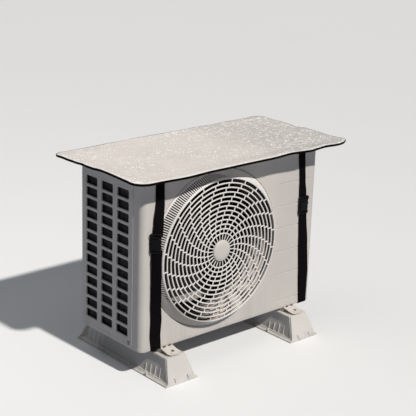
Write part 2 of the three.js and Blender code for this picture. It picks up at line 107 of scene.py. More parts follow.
def addStudio():
    sun, lamp = addLight("keyLight", "SUN", studio["sunStrength"])
    sun.angle = math.radians(studio["sunSpread"])
    sun.color = studio["sunColor"]
    lamp.rotation_euler = Vector(studio["sunFrom"]).to_track_quat("Z", "Y").to_euler()
    box, ceiling = addLight("softBox", "AREA", studio["boxPower"])
    box.shape = "SQUARE"
    box.size = studio["boxSize"]
    ceiling.location = studio["boxPlace"]
    world = bpy.data.worlds.new("paleRoom")
    bpy.context.scene.world = world
    world.use_nodes = True
    tree = world.node_tree
    tree.nodes.clear()
    wire = Wire(tree)
    seen = wire.add("ShaderNodeBackground", {}, {"Color": (1, 1, 1, 1), "Strength": 1.0})
    soft = wire.add("ShaderNodeBackground", {}, {"Color": studio["skyColor"], "Strength": studio["sky"]})
    ray = wire.add("ShaderNodeLightPath", output="Is Camera Ray")
    mixed = wire.add("ShaderNodeMixShader", {}, {0: ray, 1: soft, 2: seen})
    wire.add("ShaderNodeOutputWorld", {}, {"Surface": mixed}, None)
    bm = bmesh.new()
    bmesh.ops.create_grid(bm, x_segments=2, y_segments=2, size=studio["floorSize"])
    mesh = bpy.data.meshes.new("floor")
    bm.to_mesh(mesh)
    bm.free()
    floor = bpy.data.objects.new("floor", mesh)
    mesh.materials.append(floorFinish())
    bpy.context.collection.objects.link(floor)
    bpy.context.scene.view_settings.view_transform = "Standard"


# Shader maths

class Wire:
    def __init__(self, tree, socket=None):
        self.tree = tree
        self.socket = socket

    def add(self, kind, settings=None, sockets=None, output=0):
        node = self.tree.nodes.new(kind)
        for key, value in (settings or {}).items():
            setattr(node, key, value)
        for key, value in (sockets or {}).items():
            if isinstance(value, Wire):
                self.tree.links.new(value.socket, node.inputs[key])
            else:
                node.inputs[key].default_value = value
        return Wire(self.tree, None if output is None else node.outputs[output])

    def maths(self, operation, first, second=0.0):
        return self.add("ShaderNodeMath", {"operation": operation}, {0: first, 1: second})

    def __add__(self, other):
        return self.maths("ADD", self, other)

    def __sub__(self, other):
        return self.maths("SUBTRACT", self, other)

    def __rsub__(self, other):
        return self.maths("SUBTRACT", other, self)

    def __mul__(self, other):
        return self.maths("MULTIPLY", self, other)

    __radd__ = __add__
    __rmul__ = __mul__

    def smooth(self, low, high):
        settings = {"interpolation_type": "SMOOTHSTEP"}
        return self.add("ShaderNodeMapRange", settings, {"Value": self, "From Min": low, "From Max": high})

    def blend(self, first, second):
        colors = {0: self, 6: first, 7: second}
        return self.add("ShaderNodeMix", {"data_type": "RGBA"}, colors, 2)

    def split(self):
        node = self.add("ShaderNodeSeparateXYZ", {}, {0: self})
        return [Wire(self.tree, node.socket.node.outputs[i]) for i in range(3)]

    def stretch(self, x, y, z):
        return self.add("ShaderNodeMapping", {}, {"Vector": self, "Scale": (x, y, z)})

    def noise(self, scale, detail=3.0, roughness=0.5):
        sockets = {"Vector": self, "Scale": scale, "Detail": detail, "Roughness": roughness}
        return self.add("ShaderNodeTexNoise", {}, sockets, "Fac")

    def bump(self, strength, distance):
        return self.add("ShaderNodeBump", {}, {"Height": self, "Strength": strength, "Distance": distance})


# returns the material, its object coordinates (or own UV map) and its shader
def newFinish(name, constants, uvMap=None):
    material = bpy.data.materials.new(name)
    material.use_nodes = True
    tree = material.node_tree
    tree.nodes.clear()
    wire = Wire(tree)
    shader = wire.add("ShaderNodeBsdfPrincipled", {}, constants)
    wire.add("ShaderNodeOutputMaterial", {}, {"Surface": shader}, None)
    if uvMap:
        place = wire.add("ShaderNodeUVMap", {"uv_map": uvMap})
    else:
        place = wire.add("ShaderNodeTexCoord", output="Object")
    return material, place, shader.socket.node


def feed(shader, **links):
    names = {"color": "Base Color", "glow": "Emission Color"}
    for key, wire in links.items():
        wire.tree.links.new(wire.socket, shader.inputs[names.get(key, key.capitalize())])


def rgb(red, green, blue):
    return (red, green, blue, 1.0)


def floorFinish():
    material, place, shader = newFinish("paleFloor", {"Roughness": 0.9, "Specular IOR Level": 0.1})
    seen = place.add("ShaderNodeLightPath", output="Is Camera Ray")
    pale = place.noise(1.2).blend(rgb(0.95, 0.95, 0.95), rgb(0.97, 0.97, 0.97))
    feed(shader, color=seen.blend(rgb(0.38, 0.405, 0.47), pale))
    return material


paintTints = {
    "clean": rgb(0.675, 0.628, 0.575),
    "shade": rgb(0.645, 0.598, 0.55),
    # the dust tint also darkens the guard's lower wall, as painted shade
    "dust": rgb(0.47, 0.43, 0.37),
    "dustTop": 0.26,
    "white": rgb(0.93, 0.90, 0.86),
}


def paintFinish(name="casingPaint", lighter=1.0, dust=0.3, bars=0.0):
    material, place, shader = newFinish(name, {"Specular IOR Level": 0.45})
    x, y, z = place.split()
    clean = [rgb(*(lighter * c for c in paintTints[key][:3])) for key in ("shade", "clean")]
    tone = place.noise(5.0, 4.0).smooth(0.35, 0.65).blend(*clean)
    if bars:
        across, rise = x - guardCenter.x, z - guardCenter.z
        squared = across * across + rise * rise
        outside = squared.smooth(0.0013, 0.0020) * bars
        # painted shade on the lower left of the slanting wall, darkened towards the dust tint
        wall = squared.smooth(0.048, 0.060) * (0 - rise).smooth(0.02, 0.18) * (1 - across.smooth(-0.08, 0.0))
        tone = (wall * 0.8).blend(outside.blend(tone, paintTints["white"]), paintTints["dust"])
    low = 1 - z.smooth(0.09, paintTints["dustTop"])
    streak = place.stretch(38.0, 38.0, 3.0).noise(1.0, 4.0, 0.6).smooth(0.42, 0.72)
    speck = place.noise(420.0, 2.0).smooth(0.66, 0.74)
    dirt = (low * streak * dust + speck * 0.10 + place.noise(24.0, 5.0).smooth(0.55, 0.8) * 0.10)
    grain = place.noise(900.0, 2.0)
    feed(
        shader,
        color=dirt.blend(tone, paintTints["dust"]),
        roughness=place.noise(14.0, 3.0) * 0.14 + 0.36 + dirt * 0.2,
        normal=(grain + place.noise(60.0, 2.0) * 0.8).bump(0.10, 0.0006),
    )
    return material


def coilFinish():
    material, place, shader = newFinish("finnedCoil", {"Specular IOR Level": 0.5})
    x, y, z = place.split()
    across = x + y
    fins = place.maths("SINE", across * (2 * math.pi / 0.0024)) * 0.5 + 0.5
    tubes = place.maths("SINE", z * (2 * math.pi / 0.0252)) * 0.5 + 0.5
    dirt = place.noise(18.0, 4.0)
    tone = (fins * 0.5 + dirt * 0.5).blend(rgb(0.010, 0.010, 0.012), rgb(0.050, 0.048, 0.050))
    # lighter vertical streaks over the fins: painted highlights
    paintedHighlightStreaks = place.stretch(60.0, 60.0, 9.0).noise(1.0, 3.0).smooth(0.52, 0.68)
    streaked = (paintedHighlightStreaks * 0.55).blend(tone, rgb(0.11, 0.10, 0.10))
    feed(
        shader,
        color=(tubes.smooth(0.86, 1.0) * 0.5).blend(streaked, rgb(0.09, 0.07, 0.055)),
        roughness=dirt * 0.2 + 0.45,
        metallic=fins * 0.3 + 0.2,
        normal=fins.bump(0.5, 0.0012),
    )
    return material


def footFinish():
    material, place, shader = newFinish("footPlastic", {"Specular IOR Level": 0.4})
    z = place.split()[2]
    tone = place.noise(9.0, 5.0).smooth(0.3, 0.7).blend(rgb(0.63, 0.60, 0.555), rgb(0.69, 0.66, 0.615))
    low = 1 - z.smooth(0.0, 0.035)
    specks = place.noise(120.0, 3.0).smooth(0.62, 0.75) * 0.12
    dirt = low * place.noise(45.0, 4.0).smooth(0.4, 0.7) * 0.35 + specks
    feed(
        shader,
        color=dirt.blend(tone, rgb(0.36, 0.33, 0.28)),
        roughness=place.noise(30.0, 3.0) * 0.15 + 0.48,
        normal=(place.noise(520.0, 3.0) + place.noise(70.0, 2.0)).bump(0.16, 0.0008),
    )
    return material


foilSettings = {
    "left": rgb(0.83, 0.76, 0.70),
    "right": rgb(0.60, 0.573, 0.53),
    "dull": rgb(0.40, 0.375, 0.35),
    # white of the painted glints and sheen on the foil
    "paintedGlint": rgb(1.0, 0.985, 0.96),
    "glint": rgb(0.42, 0.41, 0.40),
    "none": rgb(0.0, 0.0, 0.0),
    "cell": 0.0025,
}


def foilFinish():
    s = foilSettings
    material, place, shader = newFinish("silverFoil", {"Specular IOR Level": 0.6, "Emission Strength": 1.0})
    x, y, z = place.split()
    hem = place.add("ShaderNodeUVMap", {"uv_map": "hem"}).split()[0]
    cells = place.add("ShaderNodeTexVoronoi", {}, {"Vector": place, "Scale": 1 / s["cell"]}, "Color")
    red, green, blue = cells.split()
    patch = place.noise(6.5, 4.0, 0.6)
    crumple = place.stretch(1.0, 1.35, 1.0).noise(42.0, 5.0, 0.62)
    rightward = (x + y * 0.15).smooth(-0.02, 0.32)
    many = patch.smooth(0.40, 0.62) * 0.75 + rightward * 0.85 + 0.12
    wanted = crumple.smooth(0.44, 0.62) * many * 0.24 + 0.004
    # the bright specks are painted glints, which also glow through the emission colour
    paintedGlint = place.maths("GREATER_THAN", wanted + red, 1.0)
    speck = place.maths("GREATER_THAN", wanted * 0.9 + green, 1.0)
    # a light line just inside the rim: painted highlight along the hem
    edge = (1 - hem.smooth(0.004, 0.009)) * hem.smooth(0.0012, 0.0022)
    uneven = place.noise(9.0, 4.0).smooth(0.35, 0.65) * 0.25
    tone = (rightward * 0.8 + uneven - y.smooth(0.0, 0.22) * 0.2 - 0.05).blend(s["left"], s["right"])
    # lighter on the crumple ridges: painted sheen
    mottled = (crumple.smooth(0.40, 0.62) * 0.16).blend(tone, s["paintedGlint"])
    spotted = (speck * 0.75).blend(mottled, s["dull"])
    paintedHighlights = place.maths("MAXIMUM", paintedGlint, edge * 0.42)
    feed(
        shader,
        color=paintedHighlights.blend(spotted, s["paintedGlint"]),
        roughness=0.56 - paintedGlint * 0.28 + blue * 0.08,
        metallic=paintedGlint * 0.15,
        normal=(crumple * 1.5 + red * 0.5 + place.noise(320.0, 2.0) * 0.6).bump(0.35, 0.0012),
        # painted glow: the glints emit light though the foil is no lamp
        glow=paintedGlint.blend(s["none"], s["glint"]),
    )
    return material


def clothFinish(name, ribPitch, tint, lighter):
    material, place, shader = newFinish(name, {"Specular IOR Level": 0.06}, "weave")
    u, v, w = place.split()
    ribs = place.maths("SINE", v * (2 * math.pi / ribPitch)) * 0.5 + 0.5
    yarns = place.maths("SINE", u * (2 * math.pi / (ribPitch * 1.5))) * 0.5 + 0.5
    twill = place.maths("SINE", (u + v) * (2 * math.pi / (ribPitch * 2.4))) * 0.5 + 0.5
    worn = place.noise(60.0, 4.0).smooth(0.45, 0.75)
    weave = ribs * 0.5 + yarns * 0.25 + twill * 0.25
    feed(
        shader,
        color=(weave * 0.7 + worn * 0.35).blend(tint, lighter),
        roughness=worn * 0.12 + 0.7,
        normal=weave.bump(0.5, 0.0005),
    )
    return material


def buckleFinish():
    material, place, shader = newFinish("buckleBlack", {"Specular IOR Level": 0.22})
    scuff = place.noise(160.0, 4.0).smooth(0.55, 0.78)
    feed(
        shader,
        color=(scuff * 0.4).blend(rgb(0.0035, 0.0025, 0.0032), rgb(0.020, 0.018, 0.018)),
        roughness=scuff * 0.2 + 0.42,
        normal=place.noise(900.0, 2.0).bump(0.12, 0.0004),
    )
    return material


def bellFinish():
    material, place, shader = newFinish("bellPaintedLightAndShade", {"Specular IOR Level": 0.2})
    x, y, z = place.split()
    across, rise = x - guardCenter.x, z - guardCenter.z
    # painted light: the pale lower right of the bell, as lit through the guard
    low = (across * 0.5 - rise * 0.866).smooth(0.10, 0.19) * across.smooth(-0.06, 0.04)
    right = across.smooth(-0.02, 0.12)
    # painted shade: further inside, the bell goes near black
    deep = (y + place.noise(40.0, 3.0) * 0.006).smooth(-0.118, -0.085)
    dusty = place.noise(28.0, 5.0).smooth(0.4, 0.7)
    pale = dusty.blend(rgb(0.62, 0.57, 0.52), rgb(0.40, 0.32, 0.27))
    # painted shade: near black on the left, brown on the right where the bell lies in shade
    paintedShadeTone = right.blend(rgb(0.006, 0.005, 0.005), rgb(0.075, 0.050, 0.038))
    feed(
        shader,
        color=deep.blend(low.blend(paintedShadeTone, pale), rgb(0.004, 0.004, 0.004)),
        roughness=dusty * 0.2 + 0.55,
        normal=place.noise(300.0, 3.0).bump(0.15, 0.0008),
    )
    return material


def darkFinish():
    material, place, shader = newFinish("shadowedMetal", {"Specular IOR Level": 0.2})
    tone = place.noise(90.0, 3.0)
    feed(shader, color=tone.blend(rgb(0.02, 0.02, 0.02), rgb(0.05, 0.048, 0.045)), roughness=tone * 0.2 + 0.6)
    return material


# Making pieces

def makePiece(
    bm, name, material, replaced=(), smoothAngle=32, bevel=0.0, wall=0.0, wallOffset=-1.0, recalc=True
):
    if recalc:
        bmesh.ops.recalc_face_normals(bm, faces=bm.faces)
    mesh = bpy.data.meshes.new(name)
    bm.edges.index_update()
    rims = [edge.index for edge in bm.edges if edge.is_boundary]
    bm.to_mesh(mesh)
    bm.free()
    mesh.materials.append(material)
    mesh.shade_smooth()
    mesh.set_sharp_from_angle(angle=math.radians(smoothAngle))
    for index in rims:
        mesh.edges[index].use_edge_sharp = True
    piece = bpy.data.objects.new(name, mesh)
    bpy.context.collection.objects.link(piece)
    if wall:
        solid = piece.modifiers.new("wall", "SOLIDIFY")
        solid.thickness = wall
        solid.offset = wallOffset
    if bevel:
        edge = piece.modifiers.new("edge", "BEVEL")
        edge.width = bevel
        edge.segments = 2
        edge.limit_method = "ANGLE"
        edge.angle_limit = math.radians(38)
    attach(piece, "root")
    if replaced:
        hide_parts(*replaced)
    return piece


def addBlock(bm, low, high, turn=None):
    low, high = Vector(low), Vector(high)
    size = high - low
    place = Matrix.Translation((low + high) / 2) @ Matrix.Diagonal((*size, 1.0))
    made = bmesh.ops.create_cube(bm, size=1.0, matrix=(turn or Matrix.Identity(4)) @ place)
    return made["verts"]


def bevelEdges(bm, edges, width, steps):
    bmesh.ops.bevel(
        bm, geom=list(edges), offset=width, offset_type="OFFSET", affect="EDGES", segments=steps, profile=0.5,
        material=-1,
    )


def onlyKind(kind, items):
    return [item for item in items if isinstance(item, kind)]


# extrudes a chain of edges, and returns the new verts and the edges between them
def extrudeChain(bm, edges, shift=(0, 0, 0)):
    made = bmesh.ops.extrude_edge_only(bm, edges=edges)["geom"]
    verts = onlyKind(bmesh.types.BMVert, made)
    bmesh.ops.translate(bm, verts=verts, vec=shift)
    known = set(verts)
    return verts, [e for e in onlyKind(bmesh.types.BMEdge, made) if known.issuperset(e.verts)]


def fillUv(bm, name, uvOf):
    layer = bm.loops.layers.uv.new(name)
    for face in bm.faces:
        for loop in face.loops:
            loop[layer].uv = uvOf(loop.vert)


def chain(bm, points, closed=False):
    verts = [bm.verts.new(point) for point in points]
    pairs = list(zip(verts, verts[1:])) + ([(verts[-1], verts[0])] if closed else [])
    return verts, [bm.edges.new(pair) for pair in pairs]


# the section's points are radius and distance behind the front, round the guard's middle
def atGuard(section):
    return [(guardCenter.x + radius, casing["front"] + back, guardCenter.z) for radius, back in section]


def spinRound(bm, section, steps, closed=True):
    verts, edges = chain(bm, atGuard(section), closed)
    bmesh.ops.spin(
        bm, geom=verts + edges, cent=guardCenter, axis=(0, 1, 0), angle=2 * math.pi, steps=steps, use_merge=True
    )


def circlePoints(radius, count, center):
    turn = 2 * math.pi / count
    return [
        (center[0] + radius * math.cos(turn * i), center[1] + radius * math.sin(turn * i)) for i in range(count)
    ]


def flatPlate(bm, outline, holes, place, thickness):
    verts, edges = chain(bm, [(*point, 0.0) for point in outline], True)
    for hole in holes:
        more, rim = chain(bm, [(*point, 0.0) for point in hole], True)
        verts += more
        edges += rim
    bmesh.ops.triangle_fill(bm, use_beauty=True, use_dissolve=False, edges=edges, normal=(0, 0, 1))
    faces = list({face for vert in verts for face in vert.link_faces})
    made = bmesh.ops.extrude_face_region(bm, geom=faces)
    raised = onlyKind(bmesh.types.BMVert, made["geom"])
    bmesh.ops.translate(bm, verts=raised, vec=(0, 0, thickness))
    bmesh.ops.transform(bm, matrix=place, verts=verts + raised)


# the points of a right half, then their mirror images back to the start
def mirrored(points):
    return points + [(-x, y) for x, y in reversed(points)]


def frameOf(origin, right, up):
    right, up = Vector(right).normalized(), Vector(up).normalized()
    return Matrix.Translation(origin) @ Matrix((right, up, right.cross(up))).transposed().to_4x4()


# Casing

def casingSlab(bm, low, high, rim, grow=0.0):
    half = casing["half"] + grow
    addBlock(bm, (-half, casing["front"] - grow, low), (half, casing["back"] + grow, high))
    upright = lambda: [e for e in bm.edges if abs(e.verts[0].co.z - e.verts[1].co.z) > 0.5 * (high - low)]
    bevelEdges(bm, [e for e in upright() if e.verts[0].co.y < 0], casing["frontRadius"] + grow, 10)
    rear = [e for e in upright() if e.verts[0].co.y > casing["back"] - 0.001]
    bevelEdges(bm, rear, casing["rearRadius"], 5)
    rims = [e for e in bm.edges if all(abs(v.co.z - rim) < 1e-6 for v in e.verts)]
    bevelEdges(bm, rims, casing["rimRound"], 3)


def addLidAndPan(paint):
    bm = bmesh.new()
    casingSlab(bm, casing["lidLow"], casing["lidHigh"], casing["lidHigh"])
    makePiece(bm, "casingLid", paint, ["top_panel"])
    bm = bmesh.new()
    casingSlab(bm, casing["panLow"], casing["panTop"], casing["panLow"], casing["panGrow"])
    makePiece(bm, "casingPan", paint, ["base_pan"])


frontSettings = {
    "grooves": (0.134, 0.239, 0.328, 0.416, 0.499, 0.582),
    "grooveStart": 0.208,
    "grooveRun": 0.008,
    "grooveHalf": 0.0019,
    "grooveDepth": 0.0022,
    "cornerSteps": 10,
    "opening": 0.2806,
    "openingSteps": 128,
}
guardCenter = Vector((-0.084, casing["front"], 0.408))


def wrapCorner(bm, verts, edges, side):
    radius = casing["frontRadius"]
    center = (side * (casing["half"] - radius), casing["front"] + radius, 0)
    made = bmesh.ops.spin(
        bm, geom=verts + edges, cent=center, axis=(0, 0, 1), angle=side * math.pi / 2,
        steps=frontSettings["cornerSteps"], use_merge=False,
    )
    edges = onlyKind(bmesh.types.BMEdge, made["geom_last"])
    seam = ((0.0018, 0.0008), (0.0002, 0.0028), (-0.0020, 0.0020))
    flat = casing["wrapEnd"] - casing["front"] - radius - sum(along for out, along in seam)
    for out, along in ((0, flat), *seam):
        edges = extrudeChain(bm, edges, (side * out, along, 0))[1]


def addFrontPanel(paint):
    s = frontSettings
    bm = bmesh.new()
    heights = [casing["wallLow"]]
    for middle in s["grooves"]:
        heights += [middle + s["grooveHalf"] * share for share in (-1, -0.35, 0.35, 1)]
    heights.append(casing["wallHigh"])
    front = casing["front"]
    flatEnd = casing["half"] - casing["frontRadius"]
    startVerts, startEdges = chain(bm, [(s["grooveStart"], front, z) for z in heights])
    verts, edges = extrudeChain(bm, startEdges, (s["grooveRun"], 0, 0))
    for i, vert in enumerate(sorted(verts, key=lambda v: v.co.z)[1:-1]):
        if i % 4 in (1, 2):
            vert.co.y += s["grooveDepth"]
    verts, edges = extrudeChain(bm, edges, (flatEnd - s["grooveStart"] - s["grooveRun"], 0, 0))
    wrapCorner(bm, verts, edges, 1)
    leftVerts, leftEdges = chain(bm, [(-flatEnd, front, casing["wallLow"]), (-flatEnd, front, casing["wallHigh"])])
    wrapCorner(bm, leftVerts, leftEdges, -1)
    cross = [bm.edges.new((leftVerts[0], startVerts[0])), bm.edges.new((leftVerts[1], startVerts[-1]))]
    ring = [(x, front, z) for x, z in circlePoints(s["opening"], s["openingSteps"], (guardCenter.x, guardCenter.z))]
    ringEdges = chain(bm, ring, True)[1]
    bmesh.ops.triangle_fill(
        bm, use_beauty=True, use_dissolve=False, edges=startEdges + leftEdges + cross + ringEdges, normal=(0, -1, 0)
    )
    bmesh.ops.remove_doubles(bm, verts=bm.verts, dist=1e-6)
    bmesh.ops.recalc_face_normals(bm, faces=bm.faces)
    bm.faces.ensure_lookup_table()
    flat = max(bm.faces, key=lambda face: face.calc_area())
    if flat.normal.y > 0:
        bmesh.ops.reverse_faces(bm, faces=bm.faces)
    makePiece(
        bm, "frontPanel", paint, ["front_panel"], smoothAngle=25, wall=casing["sheetMetal"], recalc=False
    )


guardSettings = {
    "rise": 0.033,
    "barWidth": 0.0047,
    "barDepth": 0.0026,
    "soft": 0.0010,
    "rowPitch": 0.0159,
    "outerRing": 0.2515,
    "rings": 13,
    "cells": 24,
    "firstAngle": 6.0,
    "twist": 2.87,
    "hub": 0.0375,
    "hubRise": 0.005,
    "wallFoot": 0.2775,
    "wallHead": 0.2530,
    "finPitch": 1.6883,
    "finWidth": 0.0033,
    "finDepth": 0.0022,
    "finsFrom": 82.0,
    "finsTo": 212.0,
    "taper": 10,
}


def addGuard(paint):
    s = guardSettings
    bm = bmesh.new()
    half, soft = s["barWidth"] / 2, s["soft"]
    deep, rise = s["barDepth"], s["rise"]
    bar = ((-half, deep), (-half, soft), (soft - half, 0), (half - soft, 0), (half, soft), (half, deep))
    for row in range(s["rings"]):
        radius = s["outerRing"] - row * s["rowPitch"]
        spinRound(bm, [(radius + out, back - rise) for out, back in bar], max(48, int(radius * 560)))
        outer = radius - half * 0.6
        inner = outer - s["rowPitch"] + half * 1.2 if row < s["rings"] - 1 else s["hub"] - 0.002
        width = s["barWidth"] * (1.0 if row < s["rings"] - 2 else 0.78)
        for cell in range(s["cells"]):
            addCrossBar(bm, s["firstAngle"] + 360.0 / s["cells"] * cell + s["twist"] * row, inner, outer, width / 2)
    hub, low = s["hub"], -s["hubRise"]
    cap = (
        (0.0, low - 0.0014), (hub * 0.55, low - 0.0009), (hub - 0.004, low + 0.0002), (hub - 0.001, low + 0.0022),
        (hub, 0.0), (hub, deep), (0.0, deep),
    )
    spinRound(bm, [(radius, back - rise) for radius, back in cap], 64, closed=False)
    addGuardWall(bm)
    bmesh.ops.remove_doubles(bm, verts=bm.verts, dist=1e-6)
    makePiece(bm, "fanGuard", paint, ["fan_guard"], smoothAngle=38)


# angles run from +X towards +Z, which is a negative turn about +Y
def guardTurn(degrees):
    return Matrix.Translation(guardCenter) @ Matrix.Rotation(math.radians(-degrees), 4, "Y")


def addCrossBar(bm, angle, inner, outer, half):
    s = guardSettings
    front = -s["rise"] + 0.0006
    low, high = (inner, front, -half), (outer, front + s["barDepth"] - 0.001, half)
    verts = set(addBlock(bm, low, high, guardTurn(angle)))
    near = [
        e for e in {e for v in verts for e in v.link_edges}
        if verts.issuperset(e.verts) and max(v.co.y for v in e.verts) < casing["front"] + front + 1e-5
        and abs((e.verts[0].co - guardCenter).length - (e.verts[1].co - guardCenter).length) > 0.004
    ]
    bevelEdges(bm, near, 0.0009, 1)


def addGuardWall(bm):
    s = guardSettings
    foot = Vector((s["wallFoot"], -0.0016))
    head = Vector((s["wallHead"], -s["rise"] + 0.0022))
    slope = head - foot
    outward = Vector((-slope.y, slope.x)).normalized() * (1 if slope.y < 0 else -1)
    inset = outward * -s["finDepth"]
    headRim = (
        (-0.003, 0.0062), (-0.003, 0.0008), (-0.0008, 0.0001), (0.0016, 0.0016), (0.0030, 0.0052), (0.0006, 0.0074),
    )
    footRim = (
        (-0.006, 0.0018), (-0.004, -0.0046), (-0.001, -0.0034), (0.0006, -0.0012), (0.0012, 0.0004),
        (0.0010, 0.0018),
    )
    spinRound(bm, [(s["wallHead"] + out, back - s["rise"]) for out, back in headRim], 180)
    spinRound(bm, [(s["wallFoot"] + out, back) for out, back in footRim], 180)
    smoothArc = 360.0 - (s["finsTo"] - s["finsFrom"])
    verts, edges = chain(bm, atGuard([foot, head, head + inset, foot + inset]), True)
    turn = Matrix.Rotation(math.radians(-s["finsTo"]), 4, "Y")
    bmesh.ops.rotate(bm, verts=verts, cent=guardCenter, matrix=turn.to_3x3())
    made = bmesh.ops.spin(
        bm, geom=verts + edges, cent=guardCenter, axis=(0, 1, 0), angle=math.radians(-smoothArc), steps=84,
        use_merge=False,
    )
    bmesh.ops.contextual_create(bm, geom=verts)
    bmesh.ops.contextual_create(bm, geom=onlyKind(bmesh.types.BMVert, made["geom_last"]))
    count = int(round((s["finsTo"] - s["finsFrom"]) / s["finPitch"]))
    length, half = slope.length, s["finWidth"] / 2
    side = frameOf((foot.x, foot.y, 0), (slope.x, slope.y, 0), (outward.x, outward.y, 0))
    for i in range(count + 1):
        angle = s["finsFrom"] + i * s["finPitch"]
        addBlock(bm, (-0.001, -s["finDepth"], -half), (length + 0.001, 0, half), guardTurn(angle) @ side)
        # the first and last slots are shorter, filled from the foot of the wall
        nearEnd = min(i, count - i)
        if i < count and nearEnd < s["taper"]:
            filled = length * (1 - nearEnd / s["taper"]) * 0.9
            gap = guardTurn(angle + s["finPitch"] / 2) @ side
            addBlock(bm, (-0.001, -s["finDepth"], -0.0026), (filled, -0.0004, 0.0026), gap)


# radius, then distance behind the front
bellProfile = (
    (0.276, 0.0028), (0.268, 0.0028), (0.259, 0.0066), (0.250, 0.0118), (0.242, 0.0190), (0.235, 0.0290),
    (0.2305, 0.043), (0.2275, 0.059), (0.2257, 0.082), (0.225, 0.105), (0.227, 0.1062), (0.229, 0.105),
    (0.2305, 0.075), (0.233, 0.052), (0.239, 0.032), (0.2455, 0.0225), (0.2535, 0.0152), (0.264, 0.0098),
    (0.276, 0.0063),
)


def addBellMouth(paint):
    bm = bmesh.new()
    spinRound(bm, bellProfile, 128)
    bmesh.ops.remove_doubles(bm, verts=bm.verts, dist=1e-6)
    makePiece(bm, "bellMouth", paint, ["bell_mouth"])


windowSettings = {
    "width": 0.065,
    "height": 0.033,
    "pitchAcross": 0.086,
    "pitchUp": 0.04005,
    "rows": 13,
    "lowest": 0.153,
    "corner": 0.0050,
    "chamfer": 0.0010,
    "depth": 0.0045,
    "lip": 0.010,
    "wall": 0.0014,
}


def addWindowPanel(name, node, paint, low, high, middles, place):
    s = windowSettings
    bm = bmesh.new()
    bmesh.ops.create_grid(bm, x_segments=1, y_segments=1, size=0.5)
    wallLow, wallHigh = casing["wallLow"], casing["wallHigh"]
    bmesh.ops.scale(bm, verts=bm.verts, vec=(high - low, wallHigh - wallLow, 1))
    bmesh.ops.translate(bm, verts=bm.verts, vec=((low + high) / 2, (wallLow + wallHigh) / 2, 0))
    rows = [s["lowest"] + i * s["pitchUp"] for i in range(s["rows"])]
    cuts = [((m + side * s["width"] / 2, 0, 0), (1, 0, 0)) for m in middles for side in (-1, 1)]
    cuts += [((0, m + side * s["height"] / 2, 0), (0, 1, 0)) for m in rows for side in (-1, 1)]
    for point, normal in cuts:
        geom = list(bm.verts) + list(bm.edges) + list(bm.faces)
        bmesh.ops.bisect_plane(bm, geom=geom, dist=1e-7, plane_co=point, plane_no=normal)

    def isWindow(face):
        middle = face.calc_center_median()
        return min(abs(middle.x - m) for m in middles) < 0.001 and min(abs(middle.y - m) for m in rows) < 0.001

    windows = [face for face in bm.faces if isWindow(face)]
    bmesh.ops.inset_individual(bm, faces=windows, thickness=0.0002, use_even_offset=True)
    corners = list({v for face in windows for v in face.verts})
    bmesh.ops.bevel(
        bm, geom=corners, offset=s["corner"], offset_type="OFFSET", affect="VERTICES", segments=3, profile=0.5,
        material=-1,
    )
    least = 0.8 * s["width"] * s["height"]
    windows = [f for f in bm.faces if f.calc_area() > least and len(f.verts) > 8 and isWindow(f)]
    bmesh.ops.inset_individual(
        bm, faces=windows, thickness=s["chamfer"], depth=-s["chamfer"] * 0.8, use_even_offset=True
    )
    sides = bmesh.ops.extrude_discrete_faces(bm, faces=windows)["faces"]
    bmesh.ops.translate(bm, verts=list({v for f in sides for v in f.verts}), vec=(0, 0, -s["depth"]))
    bmesh.ops.delete(bm, geom=sides, context="FACES")
    ends = ((0, low), (0, high), (1, wallLow), (1, wallHigh))
    onRim = lambda v: any(abs(v.co[axis] - end) < 1e-5 for axis, end in ends)
    extrudeChain(bm, [e for e in bm.edges if e.is_boundary and all(map(onRim, e.verts))], (0, 0, -s["lip"]))
    bmesh.ops.remove_doubles(bm, verts=bm.verts, dist=1e-6)
    bmesh.ops.transform(bm, matrix=place, verts=bm.verts)
    makePiece(bm, name, paint, [node], smoothAngle=30, wall=s["wall"], recalc=False)


def addSidePanels(paint):
    s = windowSettings
    columns = lambda middle, count: [middle + (i - (count - 1) / 2) * s["pitchAcross"] for i in range(count)]
    left = frameOf((-casing["half"], 0, 0), (0, -1, 0), (0, 0, 1))
    start = casing["wrapEnd"] + 0.0009
    addWindowPanel("leftGrille", "left_grille", paint, -casing["back"], -start, columns(-0.025, 3), left)
    back = frameOf((0, casing["back"], 0), (-1, 0, 0), (0, 0, 1))
    addWindowPanel("backGrille", "back_grille", paint, -0.3972, 0.3897, columns(0, 8), back)
    bm = bmesh.new()
    low = (casing["half"] - casing["sheetMetal"], start, casing["wallLow"])
    addBlock(bm, low, (casing["half"], casing["back"], casing["wallHigh"]))
    makePiece(bm, "rightPanel", paint, ["right_panel"], bevel=0.0009)


# Feet and leg rails

footSettings = {
    "middle": 0.291,
    "halfWidth": 0.070,
    "halfLength": 0.2545,
    "flange": 0.0045,
    "bodyHalf": 0.0575,
    "topHalf": 0.0405,
    "topHalfLength": 0.219,
    "height": 0.0855,
    "plate": 0.006,
    "recess": 0.005,
    "flareHeight": 0.014,
    "ribs": 5,
    "ribPitch": 0.025,
    "slits": (-0.026, 0.029),
    "tabs": {"left": -0.143, "right": -0.131},
}


def footPlate(bm, middle, end):
    s = footSettings
    slope = math.hypot(s["halfLength"] - s["topHalfLength"], s["height"])
    flare = s["flareHeight"] / s["height"] * slope
    outline = mirrored([
        (s["halfWidth"], 0.0), (s["halfWidth"] - 0.0015, 0.0035), (s["bodyHalf"] + 0.003, flare * 0.6),
        (s["bodyHalf"] - 0.001, flare * 1.15), (s["topHalf"], slope - 0.003), (s["topHalf"] - 0.003, slope),
    ])
    slit = ((-0.0016, 0.006), (0.0016, 0.006), (-0.0006, 0.021), (-0.0034, 0.021))
    slits = [[(x + across, rise) for across, rise in slit] for x in s["slits"]]
    up = Vector((0, -end * (s["halfLength"] - s["topHalfLength"]), s["height"]))
    right = Vector((-end, 0, 0))
    place = frameOf((middle, end * s["halfLength"], 0), right, up)
    flatPlate(bm, outline, slits, place @ Matrix.Translation((0, 0, -s["plate"])), s["plate"])


